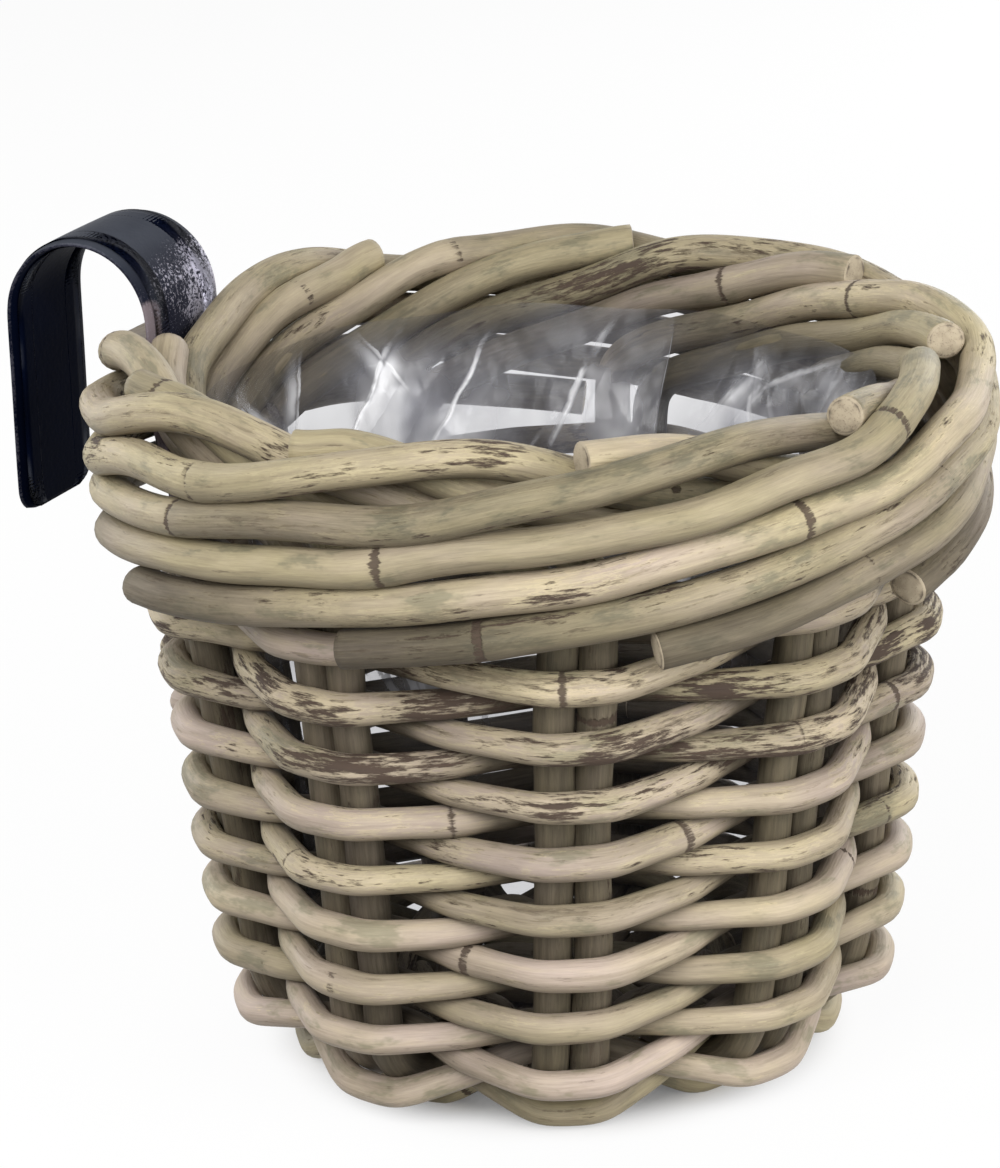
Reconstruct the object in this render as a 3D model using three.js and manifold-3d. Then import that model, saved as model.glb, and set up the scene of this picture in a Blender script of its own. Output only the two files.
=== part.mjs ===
// A round rattan balcony basket: stakes in pairs, a wall woven in and out of them by one
// weaver after another, a rim border made of the stakes' own ends, a woven stick base, a flat
// steel strap that hooks over a railing, and a film liner. Millimetres, +Z up, hook towards +Y.
import * as THREE from "three";
import { mergeVertices } from "three/addons/utils/BufferGeometryUtils.js";
import Module from "manifold-3d";

// Fits
const touchGap = 0.3;
const rowSlack = 0.2;
const buttGap = 0.7;
const rodSides = 6;

// Stakes: two rods side by side at each place round the basket
const pairCount = 9;
const stakeDiameter = 9.6;
const stakeSpacing = stakeDiameter + touchGap;
const stakeTwist = 3.5;

// The line that the stakes' centres follow from the base, round the bottom bend and up the wall
const wallTop = 150;
const wallTopRadius = 95.8;
const wallSlope = 7.2;
const bottomBend = 20;
const bottomFlat = 9;
const bendSteps = 4;

// Wall weave
const footPitch = 7.3;
const topPitch = 8.5;
const firstRow = 6;
const topRowDrop = 5;
const wavesPerWeaver = 20;
const weavePassWidth = 15.2;
const footCut = 0.5;

// Base
const baseStickDiameter = 7;
const baseStickSpacing = baseStickDiameter + 0.4;
const baseWeaverDiameter = 5;
const basePitch = 5.35;
const basePassWidth = 13.4;
const longSticks = 5;
const crossSticks = 4;
const baseTurn = 10;
const baseHeart = 1;

// Border: each stake climbs the inside and crosses the top, where one of each pair is cut off,
// and the other runs on round the outside at half the slope
const borderInset = 7.3;
const borderInnerLean = 20;
const borderOuterLean = 3.5;
const borderRoll = 9;
const borderLift = 10;
const borderHem = 5.75;
const laneGap = 1.4;
const lanesInside = 2.5;
const shortOver = 10.5;
const mergeAfter = 12;
const stakeBend = 9;
const bendAngle = 9;
const borderStep = 9;

// Hook strap
const hookAngle = 90;
const strapWidth = 40;
const strapThickness = 2.5;
const strapTuck = 55;
const strapHeadroom = 18;
const hookWidth = 45.1;
const hookDrop = 79;
const strapCoreInset = 1.6;
const strapCoreLift = 6;
const strapCorner = 7;
const crestSteps = 12;
const cornerSteps = 3;

// Room that the border rods leave for the strap
const slotMargin = 7;
const slotRamp = 30;
const slotAdvance = 5;

// Liner
const filmWall = 0.4;
const linerGap = 0.7;
const linerTuck = 19;
const linerSegments = 48;
const linerRings = 6;
const linerCorner = 6.5;
const gatherDepth = 1.6;
const foldDepth = 7;
const slackDepth = 6;
const slackAngle = -15;
const slackWidth = 38;

const stakeRadius = stakeDiameter / 2;
const pairStep = 360 / pairCount;
const laneSpacing = stakeDiameter + laneGap;
const laneRate = (2 * laneSpacing) / pairStep;
const pairWidthAngle = THREE.MathUtils.radToDeg(stakeSpacing / wallTopRadius);
const stakeLead = (laneSpacing - laneRate * pairWidthAngle) / 2;
const radians = THREE.MathUtils.degToRad;
const degrees = THREE.MathUtils.radToDeg;
const { smoothstep, lerp } = THREE.MathUtils;

// Point at a radius, an angle in degrees and a height, moved sideways round the basket
function place(radius, angle, height, sideways = 0) {
  const a = radians(angle);
  return new THREE.Vector3(
    radius * Math.cos(a) - sideways * Math.sin(a),
    radius * Math.sin(a) + sideways * Math.cos(a),
    height,
  );
}

// A path that passes through its points one by one, straight between them
class RodPath extends THREE.Curve {
  constructor(points) {
    super();
    this.points = points;
  }

  getPoint(t, target = new THREE.Vector3()) {
    const last = this.points.length - 1;
    const along = t * last;
    const i = Math.min(Math.floor(along), last - 1);
    return target.lerpVectors(this.points[i], this.points[i + 1], along - i);
  }

  getUtoTmapping(u) {
    return u;
  }
}

// A rod of even thickness with cut ends
function rodGeometry(points, diameter, sides = rodSides) {
  const corners = Array.from({ length: sides }, (_, i) => {
    const a = (2 * Math.PI * i) / sides;
    return new THREE.Vector2(Math.cos(a), Math.sin(a)).multiplyScalar(diameter / 2);
  });
  return new THREE.ExtrudeGeometry(new THREE.Shape(corners), {
    steps: points.length - 1,
    extrudePath: new RodPath(points),
    bevelEnabled: false,
  });
}

// Wall weave rows: the pitch grows evenly from the foot to the top
const bendTurn = radians(90 - wallSlope);
const footRodDiameter = footPitch - touchGap - rowSlack;
const baseHeight = stakeRadius + touchGap + footRodDiameter - footCut;
const bendTopHeight = baseHeight + bottomBend * (1 - Math.cos(bendTurn));
const wallLength = (wallTop - bendTopHeight) / Math.sin(bendTurn);
const bendTopRadius = wallTopRadius - wallLength * Math.cos(bendTurn);
const bendFootRadius = bendTopRadius - bottomBend * Math.sin(bendTurn);
const stakeStartRadius = bendFootRadius - bottomFlat;
const bendLength = bottomBend * bendTurn;
const stakeLength = bottomFlat + bendLength + wallLength;
const rowSpan = stakeLength - topRowDrop - firstRow;
const meanPitch = (footPitch + topPitch) / 2;
const waveCount = 2 * Math.floor((rowSpan / meanPitch) * (pairCount / 2));
const turnCount = waveCount / pairCount;
const pitchAt = (turn) => lerp(footPitch, topPitch, turn / turnCount);
const rowAt = (turn) => firstRow + turn * (footPitch + pitchAt(turn)) * 0.5;

// Centre line of the stakes: distance along it to radius, height and outward direction
function wallLine(along) {
  if (along < bottomFlat)
    return { r: stakeStartRadius + along, z: baseHeight, nr: 0, nz: -1 };
  const t = Math.min((along - bottomFlat) / bottomBend, bendTurn);
  const up = Math.max(along - bottomFlat - bendLength, 0);
  return {
    r: bendFootRadius + bottomBend * Math.sin(t) + up * Math.cos(t),
    z: baseHeight + bottomBend * (1 - Math.cos(t)) + up * Math.sin(t),
    nr: Math.sin(t),
    nz: -Math.cos(t),
  };
}

// The pairs lean round the basket as they rise, and stand at the hook's angle at the wall's top
const pairAngle = (pair, height) =>
  hookAngle + pairStep * pair + stakeTwist * (Math.min(height / wallTop, 1) - 1);

// The border stands on the wall, leans out as it climbs inside, and comes down outside to the
// hem, below the wall's top
const borderInnerRise = lanesInside * laneSpacing;
const shortEnd = borderInnerRise + shortOver;
const laneMerge = shortEnd + mergeAfter;
const borderInnerRadius = wallTopRadius - borderInset;
const borderFoot = wallTop + borderLift;
const innerLean = radians(borderInnerLean);
const outerLean = radians(borderOuterLean);
const rollTurn = Math.PI - innerLean + outerLean;
const rollEnd = borderInnerRise + borderRoll * rollTurn;
const riseOut = borderInnerRise * Math.sin(innerLean);
const riseUp = borderInnerRise * Math.cos(innerLean);
const rollRadius = borderInnerRadius + riseOut + borderRoll * Math.cos(innerLean);
const rollHeight = borderFoot + riseUp - borderRoll * Math.sin(innerLean);
const rollFoot = rollHeight - borderRoll * Math.sin(outerLean);
const borderEnd = rollEnd + (rollFoot - wallTop + borderHem) / Math.cos(outerLean);
const borderTop = rollHeight + borderRoll + stakeRadius;
const slotHalfAngle = degrees((strapWidth / 2 + slotMargin) / rollRadius);

// The strap lies on the stakes up to the wall's top, goes up inside the border's roll and
// hooks over outside it
const strapFaceRadius = wallTopRadius + (stakeRadius + touchGap) / Math.sin(bendTurn);
const strapInnerFace = rollRadius - strapCoreInset;
const strapFoot = wallTop - strapTuck;
const strapCoreFoot = borderFoot + strapCoreLift;
const strapCrest = borderTop + strapHeadroom;
const strapTip = strapCrest - hookDrop;
const strapReach = strapInnerFace + hookWidth;
const linerTop = borderFoot + linerTuck;

// Point of a weaver at a count of half waves from its start, a distance out of the stakes' line
function weavePoint(waves, outward, sideways = 0) {
  const line = wallLine(rowAt((waves + 1) / pairCount));
  const angle = pairAngle(waves, line.z) + degrees(sideways / line.r);
  return place(line.r + line.nr * outward, angle, line.z + line.nz * outward);
}

// Half the length of a weaver's pass over a pair, and how far it stands out at each end of it
function wallPass(wave, diameter) {
  const outside = wave % 2 === 0;
  const line = wallLine(rowAt((wave + 1) / pairCount));
  const out = stakeRadius + touchGap + diameter / 2;
  const overStrap =
    outside && wave % pairCount === 0 && line.z > strapFoot - diameter;
  if (!overStrap) return { half: weavePassWidth / 2, out: outside ? out : -out };
  const half = strapWidth / 2 + 2;
  const flat = line.r + out + (strapThickness + touchGap) / Math.sin(bendTurn);
  return { half, out: flat / Math.cos(half / line.r) - line.r };
}

// One weaver, from the middle of a pass behind a pair to the middle of a later one
function wallWeaver(from, to, diameter) {
  const points = [];
  for (let wave = from; wave <= to; wave++) {
    const pass = wallPass(wave, diameter);
    if (wave === from) points.push(weavePoint(wave, pass.out, buttGap / 2));
    else points.push(weavePoint(wave, pass.out, -pass.half));
    if (wave === to) points.push(weavePoint(wave, pass.out, -buttGap / 2));
    else points.push(weavePoint(wave, pass.out, pass.half), weavePoint(wave + 0.5, 0));
  }
  return rodGeometry(points, diameter);
}

// A stake's slot round the base: the pair it belongs to and its side of that pair
const slotPair = (slot) => Math.floor(slot / 2);
const slotSide = (slot) => (slot % 2 === 0 ? -1 : 1);

// Border cross-section: distance along it to radius and height
function borderSection(q) {
  const turn = THREE.MathUtils.clamp((q - borderInnerRise) / borderRoll, 0, rollTurn);
  const inside = Math.min(q - borderInnerRise, 0);
  const outside = Math.min(rollEnd - q, 0);
  const at = Math.PI - innerLean - turn;
  const out = inside * Math.sin(innerLean) + outside * Math.sin(outerLean);
  const up = inside * Math.cos(innerLean) + outside * Math.cos(outerLean);
  return {
    r: rollRadius + borderRoll * Math.cos(at) + out,
    z: rollHeight + borderRoll * Math.sin(at) + up,
  };
}

// Angle from a stake's place to the hook, the way that the border rods travel
function angleToHook(slot) {
  return pairStep * slotPair(slot) + (slotSide(slot) * pairWidthAngle) / 2;
}

// How far along the border's section a stake has come at an angle past its own place
function borderLane(slot, travelled) {
  const start = stakeLead * slotSide(slot);
  const before = angleToHook(slot) - travelled;
  const room = 1 - smoothstep(Math.abs(before), slotHalfAngle, slotHalfAngle + slotRamp);
  const overStrap = start + laneRate * angleToHook(slot) > (shortEnd + laneMerge) / 2;
  const lane = start + laneRate * travelled + (overStrap ? slotAdvance * room : 0);
  return lane < laneMerge ? lane : (lane + laneMerge) / 2;
}

// The angle past its own place at which a stake is cut off
function borderCut(slot) {
  const isShort = slotSide(slot) < 0;
  const atStrap = (travelled, lane) =>
    Math.abs(angleToHook(slot) - travelled) < slotHalfAngle && lane > borderInnerRise;
  let travelled = bendAngle;
  let lane = 0;
  while (lane < (isShort ? shortEnd : borderEnd)) {
    travelled += 0.5;
    lane = borderLane(slot, travelled);
    if (isShort && atStrap(travelled, lane)) break;
  }
  return travelled;
}

// Points of a stake's end in the border, from its bend at the wall's top to its cut tip
function borderPoints(slot) {
  const angle = pairAngle(slotPair(slot), wallTop) + (slotSide(slot) * pairWidthAngle) / 2;
  const start = borderSection(borderLane(slot, 0)).z;
  const points = [
    place(lerp(wallTopRadius, borderInnerRadius, 0.3), angle - 1.2, start - stakeBend * 0.4),
    place(lerp(wallTopRadius, borderInnerRadius, 0.7), angle - 4, start + 1.2),
  ];
  const span = borderCut(slot) - bendAngle;
  const steps = Math.ceil(span / borderStep);
  for (let i = 0; i <= steps; i++) {
    const travelled = bendAngle + (span * i) / steps;
    const at = borderSection(borderLane(slot, travelled));
    points.push(place(at.r, angle - travelled, at.z));
  }
  return points;
}

// One stake: out of the base, round the bottom bend, up the wall and into the border
function stake(slot) {
  const points = [];
  const stand = (along) => {
    const line = wallLine(along);
    const angle = pairAngle(slotPair(slot), line.z);
    points.push(place(line.r, angle, line.z, (slotSide(slot) * stakeSpacing) / 2));
  };
  stand(0);
  for (let i = 0; i <= bendSteps; i++) stand(bottomFlat + (bendLength * i) / bendSteps);
  const bendStart = borderSection(borderLane(slot, 0)).z - stakeBend;
  const upright = (bendStart - bendTopHeight) / Math.sin(bendTurn);
  stand(bottomFlat + bendLength + upright / 2);
  stand(bottomFlat + bendLength + upright);
  return rodGeometry([...points, ...borderPoints(slot)], stakeDiameter);
}

// Where a base stick's end lies at a radius, next to its partner in the pair
function spokePoint(slot, radius, lift = 0) {
  const sideways = slotSide(slot) * (baseStickDiameter + touchGap) * 0.5;
  return place(radius, pairAngle(slotPair(slot), 0), baseHeight + lift, sideways);
}

// One base stick: straight through the cross in the middle, its two ends opened out like spokes
const crossEdge = ((longSticks - 1) * baseStickSpacing) / 2 + baseStickDiameter * 0.6;
const openedRadius = crossEdge * 1.6;

function baseStick(offset, layer, direction, startSlot, endSlot) {
  const lift = (layer * baseStickSpacing) / 2;
  const along = pairAngle(0, 0) + baseTurn + direction;
  const ring = stakeStartRadius - touchGap;
  const inner = (sign) => place(sign * crossEdge, along, baseHeight + lift, offset);
  const opened = openedRadius;
  const points = [
    spokePoint(endSlot, ring),
    spokePoint(endSlot, lerp(opened, ring, 0.4)),
    spokePoint(endSlot, opened, lift * 0.1),
    inner(-1),
    inner(1),
    spokePoint(startSlot, opened, lift * 0.1),
    spokePoint(startSlot, lerp(opened, ring, 0.4)),
    spokePoint(startSlot, ring),
  ];
  return rodGeometry(points, baseStickDiameter);
}

// The base weaver: over one pair of stick ends and under the next, out from the middle
function baseWeaver() {
  const out = (baseStickDiameter + baseWeaverDiameter) / 2 + touchGap;
  const outerRow = stakeStartRadius - touchGap - baseWeaverDiameter * 0.6;
  const room = outerRow - openedRadius - baseHeart;
  const baseWaves = Math.floor((room / basePitch) * pairCount);
  const radiusAt = (wave) => outerRow - (basePitch * (baseWaves - wave)) / pairCount;
  const at = (wave, lift, sideways = 0) => {
    const radius = radiusAt(wave);
    const angle = pairAngle(wave, 0) + degrees(sideways / radius);
    return place(radius, angle, baseHeight + lift);
  };
  const points = [];
  for (let wave = 0; wave <= baseWaves; wave++) {
    const lift = wave % 2 === 0 ? out : -out;
    if (wave > 0) points.push(at(wave, lift, -basePassWidth / 2));
    if (wave < baseWaves) points.push(at(wave, lift, basePassWidth / 2), at(wave + 0.5, 0));
  }
  return rodGeometry(points, baseWeaverDiameter);
}

// Centre line of the strap, from its foot in the weave over the crest to its tip
function strapLine() {
  const half = strapThickness / 2;
  const crestRadius = (strapReach - strapInnerFace) / 2 - half;
  const crestCentreY = strapInnerFace + half + crestRadius;
  const crestCentreZ = strapCrest - half - crestRadius;
  const footY = strapFaceRadius - (wallTop - strapFoot) / Math.tan(bendTurn) + half;
  const turnY = strapFaceRadius + half;
  const line = [];
  for (let i = 0; i <= cornerSteps; i++) {
    const share = 1 - Math.cos((Math.PI / 2) * (i / cornerSteps));
    line.push({ y: footY, z: strapFoot, back: strapCorner * share });
  }
  const legLength = wallTop - strapFoot;
  line.forEach((p) => {
    p.y += (p.back / legLength) * (turnY - footY);
    p.z += p.back;
  });
  line.push({ y: turnY, z: wallTop, back: strapCorner });
  line.push({ y: strapInnerFace + half, z: strapCoreFoot, back: strapCorner });
  for (let i = 0; i <= crestSteps; i++) {
    const a = Math.PI * (1 - i / crestSteps);
    const y = crestCentreY + crestRadius * Math.cos(a);
    line.push({ y, z: crestCentreZ + crestRadius * Math.sin(a), back: strapCorner });
  }
  for (let i = cornerSteps; i >= 0; i--) {
    const back = strapCorner * (1 - Math.cos((Math.PI / 2) * (i / cornerSteps)));
    line.push({ y: strapReach - half, z: strapTip + back, back });
  }
  return line;
}

// The strap: a flat bar with rounded corners, bent along its line
function strapGeometry() {
  const line = strapLine();
  const positions = [];
  line.forEach((p, i) => {
    const before = line[Math.max(i - 1, 0)];
    const after = line[Math.min(i + 1, line.length - 1)];
    const along = new THREE.Vector2(after.y - before.y, after.z - before.z).normalize();
    const cut = strapCorner - Math.sqrt(strapCorner ** 2 - (strapCorner - p.back) ** 2);
    const w = strapWidth / 2 - cut;
    const ny = (-along.y * strapThickness) / 2;
    const nz = (along.x * strapThickness) / 2;
    positions.push(-w, p.y + ny, p.z + nz, w, p.y + ny, p.z + nz);
    positions.push(w, p.y - ny, p.z - nz, -w, p.y - ny, p.z - nz);
  });
  const index = [];
  const quad = (a, b, c, d) => index.push(a, c, b, a, d, c);
  for (let i = 0; i < line.length - 1; i++) {
    for (let j = 0; j < 4; j++) {
      const k = (j + 1) % 4;
      quad(4 * i + j, 4 * i + 4 + j, 4 * i + 4 + k, 4 * i + k);
    }
  }
  const last = 4 * (line.length - 1);
  quad(0, 1, 2, 3);
  quad(last + 3, last + 2, last + 1, last);
  return new THREE.BufferGeometry()
    .setAttribute("position", new THREE.Float32BufferAttribute(positions, 3))
    .setIndex(index);
}

// A fold that winds up the liner, from 0 to 1: a number of them round it, and their lean
function filmRidge(count, lean, start, angle, height) {
  const turn = (count * radians(angle) + lean * height + start) / 2;
  return (1 - Math.abs(Math.sin(turn))) ** 2;
}

// How far the film stands in from the weave at an angle and a share of its height
function filmSlack(angle, height) {
  const held = smoothstep(height, 0, 0.3) * (1 - smoothstep(height, 0.78, 0.96));
  const folds =
    0.5 * filmRidge(5, 5, 0.4, angle, height) +
    0.35 * filmRidge(8, -6, 2.1, angle, height) +
    0.25 * filmRidge(3, 11, 4, angle, height);
  const off = ((((angle - slackAngle) % 360) + 540) % 360) - 180;
  const slack = Math.exp(-((off / slackWidth) ** 2)) * smoothstep(height, 0.4, 0.75);
  const gather = 0.5 + 0.5 * Math.cos(radians(pairCount * (angle - hookAngle)));
  return held * (foldDepth * folds + slackDepth * slack) + gatherDepth * gather * height;
}

// The liner: a film pot inside the weave, crumpled, its top following the border's inside
function linerGeometry() {
  const weaveDepth = stakeRadius + touchGap + topPitch + linerGap;
  const floor = baseHeight + stakeRadius + touchGap + footRodDiameter + linerGap;
  const sideFoot = floor + linerCorner;
  const inBorder = stakeRadius / Math.cos(innerLean) + linerGap;
  const radiusAt = (z) =>
    z > borderFoot
      ? borderInnerRadius + (z - borderFoot) * Math.tan(innerLean) - inBorder
      : Math.min(
          wallTopRadius - (wallTop - z) / Math.tan(bendTurn) - weaveDepth,
          borderInnerRadius - inBorder,
        );
  const outer = [
    { r: radiusAt(sideFoot) - linerCorner, z: floor },
    { r: radiusAt(sideFoot) - linerCorner * 0.3, z: floor + linerCorner * 0.3 },
  ];
  for (let i = 0; i <= linerRings; i++) {
    const z = lerp(sideFoot, borderFoot, i / linerRings);
    outer.push({ r: radiusAt(z), z });
  }
  outer.push({ r: radiusAt(linerTop), z: linerTop });
  const inner = outer.map(({ r, z }, i) => ({
    r: r - filmWall,
    z: i < 2 ? z + filmWall : z,
  }));
  const rings = [...outer, ...inner.reverse()];
  const positions = [0, 0, floor];
  for (const ring of rings) {
    const height = THREE.MathUtils.clamp((ring.z - sideFoot) / (linerTop - sideFoot), 0, 1);
    for (let i = 0; i < linerSegments; i++) {
      const angle = (360 * i) / linerSegments;
      positions.push(...place(ring.r - filmSlack(angle, height), angle, ring.z));
    }
  }
  positions.push(0, 0, floor + filmWall);
  const top = rings.length * linerSegments + 1;
  const index = [];
  for (let i = 0; i < linerSegments; i++) {
    const j = (i + 1) % linerSegments;
    index.push(0, 1 + j, 1 + i);
    for (let ring = 0; ring < rings.length - 1; ring++) {
      const a = 1 + ring * linerSegments;
      const b = a + linerSegments;
      // Both skins are split along the same diagonal, so that they stay apart in the folds
      if (ring < outer.length) index.push(a + i, a + j, b + j, a + i, b + j, b + i);
      else index.push(a + i, a + j, b + i, a + j, b + j, b + i);
    }
    const inside = 1 + (rings.length - 1) * linerSegments;
    index.push(top, inside + i, inside + j);
  }
  return new THREE.BufferGeometry()
    .setAttribute("position", new THREE.Float32BufferAttribute(positions, 3))
    .setIndex(index);
}

const wasm = await Module();
wasm.setup();

function solidFrom(geometry) {
  const bare = geometry.clone().deleteAttribute("normal").deleteAttribute("uv");
  const merged = mergeVertices(bare, 1e-4);
  return new wasm.Manifold(
    new wasm.Mesh({
      numProp: 3,
      vertProperties: merged.attributes.position.array,
      triVerts: new Uint32Array(merged.index.array),
    }),
  );
}

// A rod that stands on the ground is cut flat there
function cutAtGround(geometry) {
  geometry.computeBoundingBox();
  if (geometry.boundingBox.min.z >= 0) return geometry;
  const size = 4 * wallTopRadius;
  const ground = new THREE.BoxGeometry(size, size, size).translate(0, 0, -size / 2);
  const cut = solidFrom(geometry).subtract(solidFrom(ground)).getMesh();
  return new THREE.BufferGeometry()
    .setAttribute("position", new THREE.BufferAttribute(cut.vertProperties, 3))
    .setIndex(new THREE.BufferAttribute(cut.triVerts, 1));
}

const basket = new THREE.Group();

function addPiece(name, geometry, color, roughness, metalness = 0) {
  const material = new THREE.MeshStandardMaterial({ color, roughness, metalness });
  const mesh = new THREE.Mesh(geometry, material);
  mesh.name = name;
  basket.add(mesh);
  return mesh;
}

for (let slot = 0; slot < 2 * pairCount; slot++) {
  const letter = slot % 2 === 0 ? "a" : "b";
  addPiece(`stake_${slotPair(slot) + 1}${letter}`, stake(slot), 0xc4b795, 0.7);
}

for (let from = -1, n = 1; from < waveCount - 1; from += wavesPerWeaver, n++) {
  const to = Math.min(from + wavesPerWeaver, waveCount - 1);
  const diameter = pitchAt((from + 1) / pairCount) - touchGap - rowSlack;
  addPiece(`wall_weaver_${n}`, cutAtGround(wallWeaver(from, to, diameter)), 0xb8aa8c, 0.75);
}

for (let i = 0; i < longSticks; i++) {
  const n = i - (longSticks - 1) / 2;
  const stick = baseStick(n * baseStickSpacing, 1, 0, 19 + n, 10 - n);
  addPiece(`base_stick_${i + 1}`, stick, 0xa99c80, 0.8);
}
for (let i = 0; i < crossSticks; i++) {
  const offset = (i - (crossSticks - 1) / 2) * baseStickSpacing;
  const stick = baseStick(offset, -1, 90, 4 + i, 16 - i);
  addPiece(`base_stick_${longSticks + i + 1}`, stick, 0xa99c80, 0.8);
}
addPiece("base_weaver", baseWeaver(), 0xa89a7d, 0.8);

const strap = addPiece("hook_strap", strapGeometry(), 0x23252b, 0.45, 0.6);
strap.rotation.z = radians(hookAngle - 90);
addPiece("liner", linerGeometry(), 0xe8ecee, 0.15).material.transparent = true;

// The origin is on the ground under the middle of the whole basket, hook included
const part = new THREE.Group();
part.add(basket);
const box = new THREE.Box3().setFromObject(basket, true);
const centre = box.getCenter(new THREE.Vector3());
basket.position.set(-centre.x, -centre.y, -box.min.z);

export default part;
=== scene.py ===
"""Dresses the woven balcony basket: rattan rods, clear film liner and painted steel strap."""
import math

import bpy
import numpy as np
from bpy.props import FloatProperty, FloatVectorProperty, IntProperty, PointerProperty
from mathutils import Matrix, Vector


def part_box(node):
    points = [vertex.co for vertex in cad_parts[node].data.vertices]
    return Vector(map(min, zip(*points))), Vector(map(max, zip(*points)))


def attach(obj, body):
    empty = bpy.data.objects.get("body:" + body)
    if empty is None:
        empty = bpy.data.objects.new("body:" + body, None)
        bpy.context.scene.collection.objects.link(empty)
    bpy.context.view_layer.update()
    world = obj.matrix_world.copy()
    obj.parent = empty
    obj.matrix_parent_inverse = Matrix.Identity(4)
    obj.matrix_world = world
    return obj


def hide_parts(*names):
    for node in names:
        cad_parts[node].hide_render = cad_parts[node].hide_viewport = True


bl_info = {
    "name": "Rattan balcony basket",
    "version": (1, 0, 0),
    "blender": (4, 5, 0),
    "location": "3D View > Sidebar > Basket",
    "description": "Rattan rods, film liner, strap hook and studio for a woven balcony basket",
    "category": "Add Mesh",
}

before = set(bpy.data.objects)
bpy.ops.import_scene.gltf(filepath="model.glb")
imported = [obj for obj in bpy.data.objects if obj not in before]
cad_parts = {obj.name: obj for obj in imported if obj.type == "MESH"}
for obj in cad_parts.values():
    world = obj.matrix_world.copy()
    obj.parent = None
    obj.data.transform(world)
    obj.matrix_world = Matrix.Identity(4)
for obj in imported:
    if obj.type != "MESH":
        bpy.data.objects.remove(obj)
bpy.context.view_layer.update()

# Sizes of the solids, in millimetres: the rods follow the same lines as the solids do
PAIRS = 9
STAKE = 9.6
TOUCH = 0.3
WALL_TOP, WALL_TOP_RADIUS, WALL_SLOPE = 150, 95.8, 7.2
BOTTOM_BEND, BOTTOM_FLAT = 20, 9
TWIST = 3.5
FOOT_PITCH, TOP_PITCH, ROW_SLACK = 7.3, 8.5, 0.2
FIRST_ROW, TOP_ROW_DROP = 6, 5
WAVES_PER_WEAVER, PASS_WIDTH, BUTT_GAP = 20, 15.2, 0.7
FOOT_CUT = 0.5
STICK, BASE_WEAVER, BASE_PITCH, BASE_PASS = 7, 5, 5.35, 13.4
LONG_STICKS, CROSS_STICKS, BASE_TURN, BASE_HEART = 5, 4, 10, 1
RIM_INSET, RIM_INNER_LEAN, RIM_OUTER_LEAN, RIM_ROLL = 7.3, 20, 3.5, 9
RIM_LIFT, RIM_HEM = 10, 5.75
LANE_GAP, LANES_INSIDE, SHORT_OVER, MERGE_AFTER = 1.4, 2.5, 10.5, 12
STAKE_BEND, BEND_ANGLE = 9, 9
HOOK = 90
STRAP_WIDTH, STRAP, STRAP_TUCK, STRAP_HEADROOM = 40, 2.5, 55, 18
HOOK_WIDTH, HOOK_DROP, STRAP_CORE_INSET, STRAP_CORE_LIFT, STRAP_CORNER = 45.1, 79, 1.6, 6, 7
SLOT_MARGIN, SLOT_RAMP, SLOT_ADVANCE = 7, 30, 5
LINER_TUCK, LINER_GAP, LINER_CORNER = 19, 0.7, 6.5
GATHER, FOLD, SLACK, SLACK_ANGLE, SLACK_WIDTH = 1.6, 7, 6, -15, 38

STEP = 360 / PAIRS
STICK_SPACING = STICK + 0.4
CROSS_EDGE = (LONG_STICKS - 1) * STICK_SPACING / 2 + STICK * 0.6
STAKE_SPACING = STAKE + TOUCH
LANE = STAKE + LANE_GAP
LANE_RATE = 2 * LANE / STEP
PAIR_ANGLE = math.degrees(STAKE_SPACING / WALL_TOP_RADIUS)
STAKE_LEAD = (LANE - LANE_RATE * PAIR_ANGLE) / 2
BEND_TURN = math.radians(90 - WALL_SLOPE)
FOOT_ROD = FOOT_PITCH - TOUCH - ROW_SLACK
BASE_HEIGHT = STAKE / 2 + TOUCH + FOOT_ROD - FOOT_CUT
BEND_TOP = BASE_HEIGHT + BOTTOM_BEND * (1 - math.cos(BEND_TURN))
WALL_LENGTH = (WALL_TOP - BEND_TOP) / math.sin(BEND_TURN)
BEND_FOOT_RADIUS = (WALL_TOP_RADIUS - WALL_LENGTH * math.cos(BEND_TURN)
                    - BOTTOM_BEND * math.sin(BEND_TURN))
STAKE_START = BEND_FOOT_RADIUS - BOTTOM_FLAT
BEND_LENGTH = BOTTOM_BEND * BEND_TURN
ROW_SPAN = BOTTOM_FLAT + BEND_LENGTH + WALL_LENGTH - TOP_ROW_DROP - FIRST_ROW
WAVES = 2 * math.floor(ROW_SPAN / ((FOOT_PITCH + TOP_PITCH) / 2) * (PAIRS / 2))

# The rim: it stands on the wall, climbs inside, rolls over and comes down outside to its hem
INNER_LEAN, OUTER_LEAN = math.radians(RIM_INNER_LEAN), math.radians(RIM_OUTER_LEAN)
RIM_RISE = LANES_INSIDE * LANE
SHORT_END = RIM_RISE + SHORT_OVER
LANE_MERGE = SHORT_END + MERGE_AFTER
RIM_RADIUS, RIM_FOOT = WALL_TOP_RADIUS - RIM_INSET, WALL_TOP + RIM_LIFT
ROLL_TURN = math.pi - INNER_LEAN + OUTER_LEAN
ROLL_END = RIM_RISE + RIM_ROLL * ROLL_TURN
ROLL_RADIUS = RIM_RADIUS + RIM_RISE * math.sin(INNER_LEAN) + RIM_ROLL * math.cos(INNER_LEAN)
ROLL_HEIGHT = RIM_FOOT + RIM_RISE * math.cos(INNER_LEAN) - RIM_ROLL * math.sin(INNER_LEAN)
ROLL_FOOT = ROLL_HEIGHT - RIM_ROLL * math.sin(OUTER_LEAN)
RIM_END = ROLL_END + (ROLL_FOOT - WALL_TOP + RIM_HEM) / math.cos(OUTER_LEAN)
SLOT_HALF = math.degrees((STRAP_WIDTH / 2 + SLOT_MARGIN) / ROLL_RADIUS)

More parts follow.
